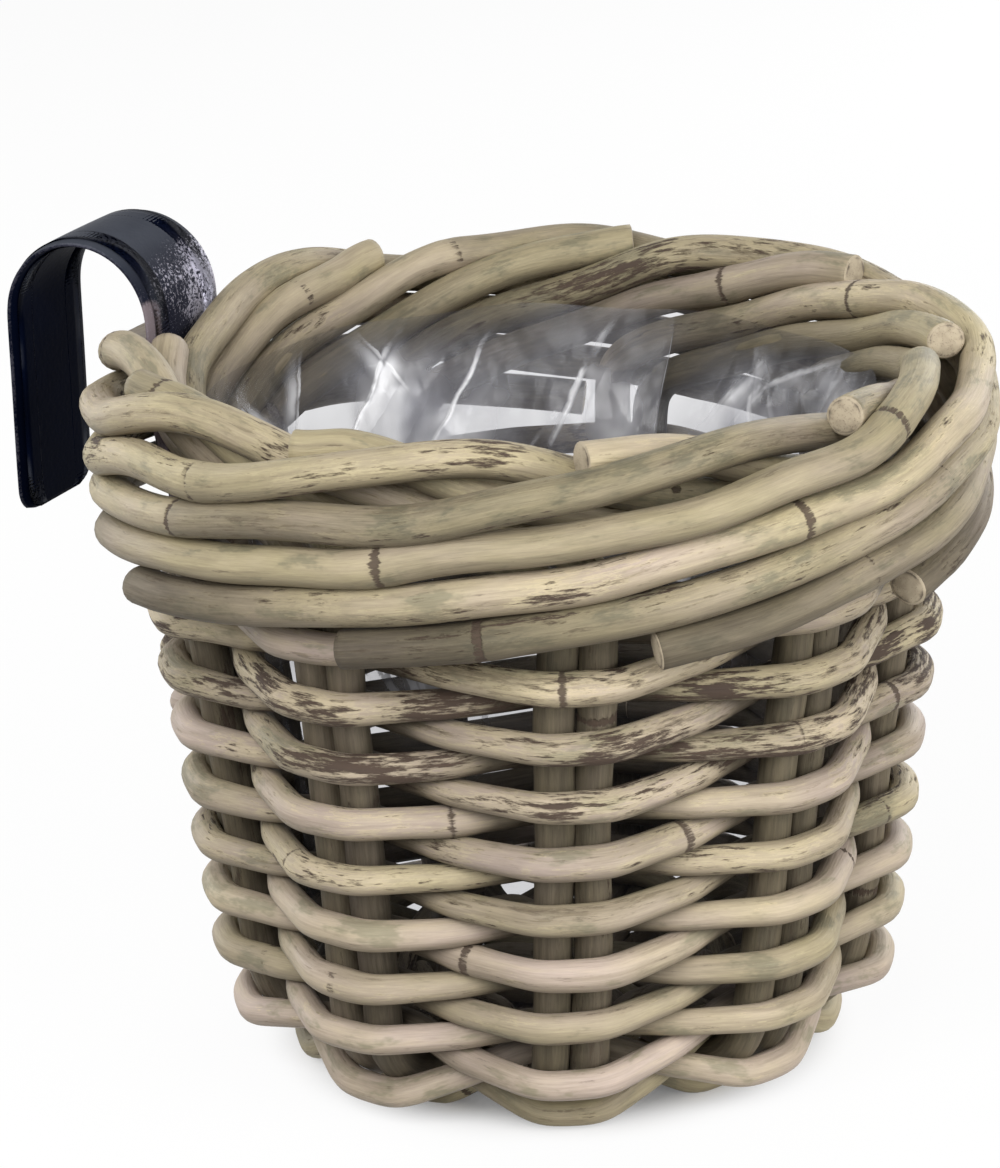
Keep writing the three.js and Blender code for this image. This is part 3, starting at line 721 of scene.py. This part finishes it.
def rod_surface(line, frames, reach, around, grain):
    """Points of a rod, their grain and their share of the end's radius. The skin is the line plus
    the reach times the cosine and sine of the angle around, along the side and up directions. Each
    end has two smaller rings and a middle point, pushed out as a shallow dome."""
    tangent, side, up = frames
    spokes = (np.cos(around)[None, :, None] * side[:, None, :]
              + np.sin(around)[None, :, None] * up[:, None, :])
    skin = line[:, None, :] + reach[..., None] * spokes
    points, grains, shares = [skin.reshape(-1, 3)], [grain.reshape(-1, 3)], []
    for row, out in ((0, -1), (-1, 1)):
        middle = grain[row, :, 1:].mean(0)
        for share, dome in END_RINGS:
            centre = line[row] + tangent[row] * out * dome
            points.append(centre + (skin[row] - line[row]) * share)
            inner = grain[row].copy()
            inner[:, 1:] = (inner[:, 1:] - middle) * share + middle
            grains.append(inner)
            shares.append(np.full(len(around), share))
        points.append((line[row] + tangent[row] * out * END_MIDDLE)[None, :])
        grains.append(grain[row].mean(0, keepdims=True))
        shares.append(np.zeros(1))
    return np.vstack(points), np.vstack(grains), np.concatenate(shares)


def rod_faces(rows, sides):
    """Quads of the skin, then at each end two strips and a fan. Also how many are on the skin."""
    faces = tube_faces(rows, sides, turned=True)
    skin = len(faces)
    for row, first, turn in ((0, rows * sides, -1), (rows - 1, (rows + 2) * sides + 1, 1)):
        rings = [start + np.arange(sides) for start in (row * sides, first, first + sides)]
        for a, b in zip(rings, rings[1:]):
            strip = np.stack([a, np.roll(a, -1), np.roll(b, -1), b], -1)
            faces += strip[:, ::turn].tolist()
        faces += [face[::turn] for face in fan_faces(rings[-1], first + 2 * sides)]
    return faces, skin


def basket_inner_shade(points):
    """Painted shade inside the weave, from 0 to 1: it rises with the distance in from the
    wall's and the rim's own line, which is a circle at the bottom bend, and fades at the top."""
    away, tall = np.hypot(points[:, 0], points[:, 1]), points[:, 2]
    course = np.where(tall > RIM_FOOT, RIM_RADIUS + (tall - RIM_FOOT) * math.tan(INNER_LEAN),
                      WALL_TOP_RADIUS - np.maximum(WALL_TOP - tall, 0) / math.tan(BEND_TURN))
    bend = BASE_HEIGHT + BOTTOM_BEND
    low = BOTTOM_BEND - np.hypot(np.maximum(away - BEND_FOOT_RADIUS, 0), bend - tall)
    inside = smooth_step(np.where(tall < bend, low, course - away), -2, 3.5)
    return (0.35 + 0.55 * smooth_step(tall, 18, 50)) * inside * (1 - smooth_step(tall, 170, 193))


def rattan_rod(name, points, diameter, looks, seed, materials, soften=4.0, thick=None,
               traits=(0.5, 0.5, 0.3), painted_shade=None):
    """A rod: a nearly round section carried along its line. The radius is half the diameter, times
    slow waves along it, a swelling at each node and a little out-of-round. Its ends are domed, and
    it is cut flat on the ground.
    Thick is its thickness as a function of its share of the length. The last argument is how much
    painted shade each ring holds, as a function of height and share of length. Traits are its
    tone, ash and bark."""
    rng = np.random.default_rng(seed)
    line, at = even_line(points, looks.rod_step * 1000, soften)
    sides, rows = looks.rod_sides, len(at)
    tangent, side, up = carried_frames(line)
    free = smooth_step(at, 0, STEADY_END) * smooth_step(at[-1] - at, 0, STEADY_END)
    sway = looks.wobble * 1000 * (1 + 1.7 * smooth_step(line[:, 2], WALL_TOP, RIM_FOOT + 12))
    diameter = diameter * (1 + 0.035 * rng.uniform(-1, 1))
    line = line + side * (slow_noise(rng, at, 70) * sway * free)[:, None]
    line = line + up * (slow_noise(rng, at, 60) * sway * 0.6 * free)[:, None]
    nodes = np.cumsum(rng.uniform(*NODE_GAP, 60)) - rng.uniform(0, 150)
    nodes = nodes[(nodes > 5) & (nodes < at[-1] - 5)]
    apart = at[:, None] - nodes[None, :]
    ring = np.exp(-0.5 * (apart / NODE_RING) ** 2) @ rng.uniform(0.6, 1.05, len(nodes))
    bulge = np.exp(-0.5 * (apart / NODE_SWELL) ** 2) @ rng.uniform(0.4, 1.2, len(nodes))
    length_tone = rng.normal(0, 0.2, len(nodes) + 1)
    tones = length_tone[0] + (1 / (1 + np.exp(-apart / 0.8))) @ np.diff(length_tone)
    radius = diameter / 2 * (1 + 0.03 * slow_noise(rng, at, 120) + looks.swell * bulge
                             - 0.03 * ring)
    if thick is not None:
        radius = radius * thick(at / at[-1])
    around = np.linspace(0, 2 * np.pi, sides, endpoint=False)
    oval = 1 + 0.035 * np.sin(2 * around[None, :] + slow_noise(rng, at, 160)[:, None] * 3)
    lumps = (0.008 * np.sin(5 * around[None, :] + at[:, None] / 31)
             * np.sin(at[:, None] / 43 + 3 * around[None, :]))
    reach = radius[:, None] * (oval + lumps)
    # The grain starts at a place of its own for each rod, so no two rods look the same
    grain = np.stack([at[:, None] + seed * 97.3 + 0 * reach, reach * np.cos(around) + seed * 31.7,
                      reach * np.sin(around) + seed * 13.1], -1)
    verts, grains, shares = rod_surface(line, (tangent, side, up), reach, around, grain)
    verts[:, 2] = np.maximum(verts[:, 2], 0)
    faces, on_skin = rod_faces(rows, sides)
    made = new_mesh(name + "_rod", verts / 1000 + AXIS, faces, materials)
    mesh, wall = made.data, rows * sides
    on_end = np.arange(len(faces)) >= on_skin
    mesh.polygons.foreach_set("material_index", on_end.astype(np.int32))
    store(mesh, "grain", grains / 1000)
    store(mesh, "ring", np.r_[np.repeat(np.clip(ring, 0, 1), sides), shares])
    tone = np.tile(traits + rng.normal(0, (0.15, 0.30, 0.27)), (len(verts), 1))
    tone[:wall, 0] += np.repeat(tones, sides)
    store(mesh, "rod", np.clip(tone, 0, 1))
    # Painted shade on the inner side of the weave, plus the rod's own painted shade
    inner_shade = basket_inner_shade(verts)
    if painted_shade is not None:
        inner_shade[:wall] += np.repeat(np.clip(painted_shade(line[:, 2], at / at[-1]), 0, 1), sides)
    store(mesh, "painted_shade", np.clip(inner_shade, 0, 1))
    return made


def dress(made, node):
    """Makes a piece ride on the body and stand for a solid."""
    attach(made, "root")
    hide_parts(node)


# ---- operators ----

class BASKET_OT_stakes(bpy.types.Operator):
    """Stakes in pairs up the wall, laid down round the rim as its rolled border."""
    bl_idname = "basket.stakes"
    bl_label = "Stakes and rim"

    def execute(self, context):
        looks = context.scene.basket
        skins = [rattan_finish("stake_rattan", looks, 0.66, 0.74), pith_finish(looks)]
        # Painted shade on the stakes low in the wall, where they are recessed behind the weavers
        recess_shade = lambda height, share: 0.9 * (1 - smooth_step(height, 146, 160))
        for pair in range(PAIRS):
            for side, letter in ((-1, "a"), (1, "b")):
                name = f"stake_{pair + 1}{letter}"
                made = rattan_rod(name, stake_line(pair, side), STAKE * STAKE_FULLNESS, looks,
                                  STAKE_SEED + 2 * pair + side, skins,
                                  traits=(0.50, 0.35, 0.26), painted_shade=recess_shade)
                dress(made, name)
        return {"FINISHED"}


class BASKET_OT_wall(bpy.types.Operator):
    """Weavers of the wall in a rising spiral, each after the last, with more bark higher up."""
    bl_idname = "basket.wall"
    bl_label = "Wall weave"

    def execute(self, context):
        looks = context.scene.basket
        skins = [rattan_finish("weaver_rattan", looks, 0.655, 0.73),
                 bpy.data.materials["cut_rattan"]]
        for number, first in enumerate(range(-1, WAVES - 1, WAVES_PER_WEAVER)):
            name = f"wall_weaver_{number + 1}"
            last = min(first + WAVES_PER_WEAVER, WAVES - 1)
            diameter, span = rod_diameter(first), last - first
            full = lambda t: 1 + (looks.fullness - 1) * (0.5 + 0.5 * np.cos(2 * np.pi * t * span))
            # Painted shade where a weaver passes behind the stakes
            tuck_shade = lambda height, t: 0.62 * (0.5 + 0.5 * np.cos(np.pi * t * span)) ** 2
            bark = 0.10 + 0.64 * float(smooth_step((first + last) / 2 / WAVES, 0.42, 0.70))
            made = rattan_rod(name, weaver_line(first, last, diameter), diameter * WEAVER_FULLNESS,
                              looks, WEAVER_SEED + number, skins, 3.4, full,
                              (0.88, 0.58, bark), tuck_shade)
            dress(made, name)
        return {"FINISHED"}


class BASKET_OT_base(bpy.types.Operator):
    """Crossed sticks and the weaver of the base."""
    bl_idname = "basket.base"
    bl_label = "Base"

    def execute(self, context):
        looks = context.scene.basket
        skins = [rattan_finish("base_rattan", looks, 0.69, 0.77), bpy.data.materials["cut_rattan"]]
        # Each stick's ends open out to the spokes whose numbers are given
        sticks = []
        for i in range(LONG_STICKS):
            n = i - (LONG_STICKS - 1) // 2
            sticks.append(stick_line(n * STICK_SPACING, 1, 0, 19 + n, 10 - n))
        for i in range(CROSS_STICKS):
            offset = (i - (CROSS_STICKS - 1) / 2) * STICK_SPACING
            sticks.append(stick_line(offset, -1, 90, 4 + i, 16 - i))
        rods = [(f"base_stick_{number + 1}", line, STICK, STICK_SEED + number)
                for number, line in enumerate(sticks)]
        rods.append(("base_weaver", base_weaver_line(), BASE_WEAVER, BASE_WEAVER_SEED))
        for name, line, diameter, seed in rods:
            dress(rattan_rod(name, line, diameter, looks, seed, skins, 2.5), name)
        return {"FINISHED"}


def strap_line():
    """The strap's middle line: up the stakes, over in a half circle and down."""
    half = STRAP / 2
    bend = (STRAP_REACH - STRAP_CORE) / 2 - half
    centre_y, centre_z = STRAP_CORE + half + bend, STRAP_CREST - half - bend
    foot_y = STRAP_FACE - (WALL_TOP - STRAP_FOOT) / math.tan(BEND_TURN) + half
    turn = np.linspace(math.pi, 0, 49)
    arch = np.stack([centre_y + bend * np.cos(turn), centre_z + bend * np.sin(turn)], -1)
    points = np.array([[foot_y, STRAP_FOOT], [STRAP_FACE + half, WALL_TOP],
                       [STRAP_CORE + half, STRAP_CORE_FOOT], *arch,
                       [STRAP_REACH - half, STRAP_TIP]])
    return np.c_[np.zeros(len(points)), points]


def strap_section():
    """Points round the strap's section, in halves of its width and thickness: flat faces whose
    edges are rounded by part of a circle."""
    flat = np.linspace(-1, 1, 13)[1:-1]
    bead = np.radians(np.linspace(90, -90, 9))
    face = np.stack([flat, np.ones_like(flat)], -1)
    edge = np.stack([1 + STRAP_EDGE * (np.cos(bead) - 1), np.sin(bead)], -1)
    return np.vstack([face, edge, face[::-1] * (1, -1), -edge])


class BASKET_OT_strap(bpy.types.Operator):
    """Flat steel strap bent over into the railing hook, a section carried along its line. It
    narrows at both ends by rounded corners and is dished by a slow wave across its width."""
    bl_idname = "basket.strap"
    bl_label = "Strap hook"

    def execute(self, context):
        line, at = even_line(strap_line(), 1.0, 2.0)
        normal = np.cross(tangents(line), [1.0, 0, 0])
        back = np.maximum(STRAP_CORNER - np.minimum(at, at[-1] - at), 0)
        width = (STRAP_WIDTH / 2 - STRAP_CORNER
                 + np.sqrt(np.maximum(STRAP_CORNER ** 2 - back ** 2, 0)))
        ring = strap_section()
        at_edge = np.abs(ring[:, 0]) > 0.95
        rows, sides = len(at), len(ring)
        x = ring[:, 0] * width[:, None] * np.where(at_edge, 1, 0.985)
        dish = 0.16 * slow_noise(np.random.default_rng(STRAP_SEED), at, 60)
        out = ring[:, 1] * STRAP / 2 + dish[:, None] * (x / STRAP_WIDTH * 2) ** 2
        skin = line[:, None, :] + x[..., None] * [1.0, 0, 0] + out[..., None] * normal[:, None, :]
        points = np.vstack([skin.reshape(-1, 3), skin[0].mean(0), skin[-1].mean(0)])
        foot, tip = np.arange(sides), np.arange(sides) + (rows - 1) * sides
        faces = tube_faces(rows, sides) + fan_faces(foot, rows * sides)
        faces += [[b, a, end] for a, b, end in fan_faces(tip, rows * sides + 1)]
        made = new_mesh("hook_strap_bar", points / 1000 + AXIS, faces,
                        [strap_finish(context.scene.basket)])
        store(made.data, "rim", np.r_[np.tile(at_edge, rows), 1, 1])
        dress(made, "hook_strap")
        return {"FINISHED"}


# Windings of folds and of finer creases round the film: how many, their lean, start and depth
FOLDS = ((5, 5, 0.4, 0.5), (8, -6, 2.1, 0.35), (3, 11, 4, 0.25))
CREASES = ((11, 17, 1.0, 0.5), (9, -13, 3.2, 0.4), (17, 24, 5.1, 0.3))


def film_ridges(windings, angle, height, sharp=2):
    """Folds that wind up the film: for each winding its depth times one minus the size of a sine,
    to a power."""
    return sum(depth * (1 - np.abs(np.sin((count * angle + lean * height + start) / 2))) ** sharp
               for count, lean, start, depth in windings)


def film_slack(angle, height):
    """How far the film stands in from the weave: windings of folds, a loose belly on one side and
    a gather at each pair of stakes. It is held at the foot and at the rim."""
    held = smooth_step(height, 0, 0.3) * (1 - smooth_step(height, 0.78, 0.96))
    off = (np.degrees(angle) - SLACK_ANGLE) % 360
    off = np.minimum(off, 360 - off)
    slack = np.exp(-((off / SLACK_WIDTH) ** 2)) * smooth_step(height, 0.4, 0.75)
    gather = 0.5 + 0.5 * np.cos(PAIRS * (angle - math.radians(HOOK)))
    return (held * (FOLD * film_ridges(FOLDS, angle, height) + SLACK * slack)
            + GATHER * gather * height)


def film_lines(windings, angle, height, rng):
    """For each winding, how far a point is past its nearest ridge, in millimetres along the film,
    and how clearly the ridge shows there in painted highlight and relief: a slow random wave round
    the film and up it."""
    apart, seen = [], []
    for count, lean, start, _ in windings:
        turn = (count * angle + lean * height + start) / 2
        slope = math.hypot(count, lean * FILM_RADIUS / FILM_HEIGHT)
        apart.append(np.sin(turn) * 2 * FILM_RADIUS / slope)
        waves = rng.integers(1, 4) * angle + rng.uniform(-7, 7) * height + rng.uniform(0, 6)
        seen.append(smooth_step(np.sin(waves), -0.15, 0.75))
    return [np.stack(np.broadcast_arrays(*group), -1).reshape(-1, 3) for group in (apart, seen)]


def film_veil(angle, height):
    """How milky the film is: bands of haze that thicken towards the rim, more on the loose belly,
    and folded film beside each pair of stakes under the rim."""
    belly = np.exp(-((np.degrees(angle) + 20) / 40) ** 2) * smooth_step(height, 0.45, 0.7)
    beside = smooth_step(np.cos(PAIRS * (angle - math.radians(14))), -0.45, 0.55)
    folded = np.exp(-((height - 0.80) / 0.08) ** 2) * beside
    bands = 0.5 + 0.5 * np.sin(4 * angle + 11 * height + 0.8 * np.sin(3 * angle) + 1.3)
    finer = 0.5 + 0.5 * np.sin(7 * angle - 8 * height + 2.9)
    small = 0.5 + 0.5 * np.sin(9 * angle + 17 * height + 0.4)
    haze = 0.03 + 0.84 * bands * (0.22 + 0.78 * finer) + 0.58 * belly * (0.25 + 0.75 * small)
    return haze * (0.04 + 0.96 * smooth_step(height, 0.46, 0.70)) + folded * (0.50 + 0.50 * bands)


def film_wall(height):
    """Radius at which the film rests on the wall, and above it on the rim."""
    depth = STAKE / 2 + TOUCH + TOP_PITCH + LINER_GAP
    in_rim = STAKE / 2 / math.cos(INNER_LEAN) + LINER_GAP
    on_wall = WALL_TOP_RADIUS - (WALL_TOP - height) / math.tan(BEND_TURN) - depth
    on_rim = RIM_RADIUS + (height - RIM_FOOT) * math.tan(INNER_LEAN) - in_rim
    return np.where(height > RIM_FOOT, on_rim, np.minimum(on_wall, RIM_RADIUS - in_rim))


class BASKET_OT_liner(bpy.types.Operator):
    """Clear film pot inside the weave: a profile turned round the axis, pushed in by its slack and
    its small creases, with a top edge that sags in slow waves."""
    bl_idname = "basket.liner"
    bl_label = "Film liner"

    def execute(self, context):
        looks = context.scene.basket
        rng = np.random.default_rng(FILM_SEED)
        floor = BASE_HEIGHT + STAKE / 2 + TOUCH + FOOT_ROD + LINER_GAP
        foot = floor + LINER_CORNER
        up = np.linspace(foot, LINER_TOP, 60)
        flat = float(film_wall(foot)) - LINER_CORNER
        corner = [flat + LINER_CORNER * 0.7, floor + LINER_CORNER * 0.3]
        profile = np.vstack([[0.0, floor], [flat, floor], corner,
                             np.stack([film_wall(up), up], -1)])
        run = np.r_[0, np.cumsum(np.linalg.norm(np.diff(profile, axis=0), axis=1))]
        s = np.linspace(0.004, 1, FILM_ROWS)[:, None] * run[-1]
        radius, height = np.interp(s, run, profile[:, 0]), np.interp(s, run, profile[:, 1])
        share = np.clip((height - foot) / (LINER_TOP - foot), 0, 1)
        theta = np.linspace(0, 2 * np.pi, FILM_COLUMNS, endpoint=False)[None, :]
        creases = film_ridges(CREASES, theta, share, 2.5)
        loose = smooth_step(share, 0.02, 0.2) * (1 - smooth_step(share, 0.90, 1.0))
        r = radius - film_slack(theta, share) - looks.crumple * 1000 * creases * loose
        ground = looks.crumple * 500 * creases[:1] * smooth_step(s, 8, 30) * (share == 0)
        sag = smooth_step(s, run[-1] - 12, run[-1]) * 1.8 * (
            0.5 + 0.5 * np.sin(7 * theta + 1.0) * np.sin(4 * theta))
        z = height + ground - sag
        points = np.stack([r * np.cos(theta), r * np.sin(theta), z], -1).reshape(-1, 3)
        faces = tube_faces(FILM_ROWS, FILM_COLUMNS)
        faces += fan_faces(np.arange(FILM_COLUMNS), len(points))
        made = new_mesh("film_liner", np.vstack([points, [0, 0, floor]]) / 1000 + AXIS, faces,
                        [film_finish(looks)])
        near_rim = (loose * smooth_step(share, 0.55, 0.75)).repeat(FILM_COLUMNS, 0)
        bare = 1.0
        # How clearly each fold and crease shows, in painted highlight and relief: only near the
        # rim
        for lay, windings in (("folds", FOLDS), ("creases", CREASES)):
            apart, seen = film_lines(windings, theta, share, rng)
            seen, bare = seen * bare, 1 - seen.max(1, keepdims=True)
            store(made.data, lay, np.vstack([apart, [9.0, 9.0, 9.0]]))
            store(made.data, lay + "_seen", np.vstack([seen * near_rim, [0, 0, 0]]))
        veil = film_veil(theta, share) * (0.25 + 0.75 * loose)
        store(made.data, "veil", np.r_[veil.ravel(), 0.2])
        dress(made, "liner")
        # The length round the film's top edge. The film was cut and welded to this pot's form,
        # with a twentieth more for its gathers
        top = 2 * math.pi * float(film_wall(LINER_TOP))
        return {"FINISHED"}


class BASKET_OT_studio(bpy.types.Operator):
    """Pale floor, white surroundings, soft lamps and the camera."""
    bl_idname = "basket.studio"
    bl_label = "Studio"

    def execute(self, context):
        scene = context.scene
        scene.view_settings.view_transform = "Standard"
        grid = np.array([[-6, -6, 0], [6, -6, 0], [6, 6, 0], [-6, 6, 0]], float)
        new_mesh("studio_floor", grid, [(0, 1, 2, 3)], [floor_finish()], smooth=False)
        light = Finish(bpy.data.worlds.new("studio_light"), "ShaderNodeOutputWorld")
        soft, white = (
            light.node("ShaderNodeBackground", None, {"Color": WHITE, "Strength": strength})
            for strength in (WORLD_LIGHT, 1.0))
        scene.world = light.surface(light.mix_shader(light.seen(), soft, white))
        bearing = math.radians(BEARING)
        aim = Vector((AXIS[0], AXIS[1], AIM_HEIGHT))
        for name, (turn, height, distance, size, power) in LAMPS.items():
            lamp = bpy.data.lights.new("lamp_" + name, "AREA")
            lamp.size = size
            lamp.energy = power * scene.basket.lamp_power
            holder = add_object("lamp_" + name, lamp)
            a = bearing + math.radians(turn)
            holder.location = (aim.x + distance * math.cos(a), aim.y + distance * math.sin(a),
                               height)
            holder.rotation_euler = (aim - holder.location).to_track_quat("-Z", "Y").to_euler()
        camera = bpy.data.cameras.new("camera")
        camera.lens, camera.sensor_width = LENS, 36
        camera.clip_start, camera.clip_end = 0.05, 50
        scene.camera = add_object("camera", camera)
        # The camera looks along its bearing, then turns by its yaw, pitches down and rolls
        to_bearing = Matrix.Rotation(bearing + math.pi / 2, 4, "Z")
        turns = ((-YAW, "Z"), (90 - PITCH, "X"), (-ROLL, "Z"))
        spot = to_bearing @ Vector(CAMERA_PLACE) + Vector(AXIS)
        yaw, pitch, roll = (Matrix.Rotation(math.radians(angle), 4, axis) for angle, axis in turns)
        scene.camera.matrix_world = Matrix.Translation(spot) @ to_bearing @ yaw @ pitch @ roll
        return {"FINISHED"}


STEPS = (BASKET_OT_stakes, BASKET_OT_wall, BASKET_OT_base, BASKET_OT_strap, BASKET_OT_liner,
         BASKET_OT_studio)


class BASKET_PT_panel(bpy.types.Panel):
    """Settings of the basket and its steps."""
    bl_idname = "BASKET_PT_panel"
    bl_label = "Rattan basket"
    bl_space_type = "VIEW_3D"
    bl_region_type = "UI"
    bl_category = "Basket"

    def draw(self, context):
        for name in BasketSettings.__annotations__:
            self.layout.prop(context.scene.basket, name)
        for step in STEPS:
            self.layout.operator(step.bl_idname)


def register():
    for item in (BasketSettings, *STEPS, BASKET_PT_panel):
        bpy.utils.register_class(item)
    bpy.types.Scene.basket = PointerProperty(type=BasketSettings)


def unregister():
    del bpy.types.Scene.basket
    for item in reversed((BasketSettings, *STEPS, BASKET_PT_panel)):
        bpy.utils.unregister_class(item)


def main():
    register()
    for step in STEPS:
        group, name = step.bl_idname.split(".")
        getattr(getattr(bpy.ops, group), name)()


if __name__ == "__main__":
    main()
